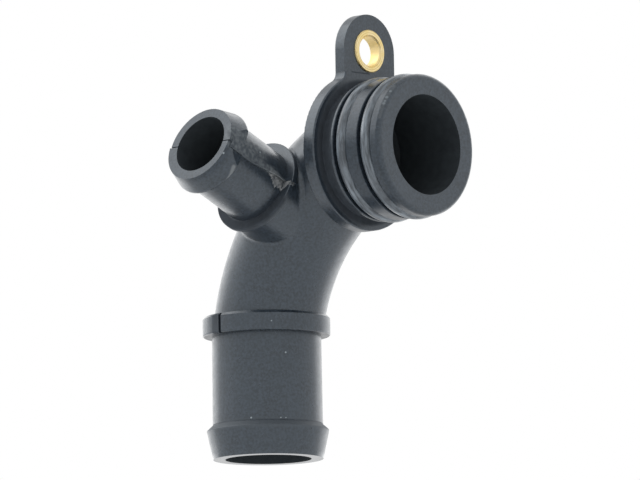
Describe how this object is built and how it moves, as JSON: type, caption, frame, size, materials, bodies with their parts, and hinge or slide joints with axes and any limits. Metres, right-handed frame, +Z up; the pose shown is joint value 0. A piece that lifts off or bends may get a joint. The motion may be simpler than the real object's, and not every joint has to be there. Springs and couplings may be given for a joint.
{
  "type": "coolant pipe",
  "caption": "Moulded plastic coolant elbow with a bolt-on flange and sealed spigot, a barbed main hose end and a smaller barbed side branch.",
  "frame": {"origin": "where the spigot's axis crosses the flange's seating plane", "axes": "+X along the spigot out of the flange to its nose, +Z up from the spigot to the bolt ear and away from the main hose end, +Y away from the small branch"},
  "size_m": [0.0821, 0.0701, 0.1259],
  "materials": {
    "moulded_body": "satin",
    "bushing": "satin",
    "seal": "matte"
  },
  "bodies": {
    "root": {"pipe_body": "moulded_body", "brass_bushing": "bushing", "inner_o_ring": "seal", "outer_o_ring": "seal"}
  },
  "joints": []
}
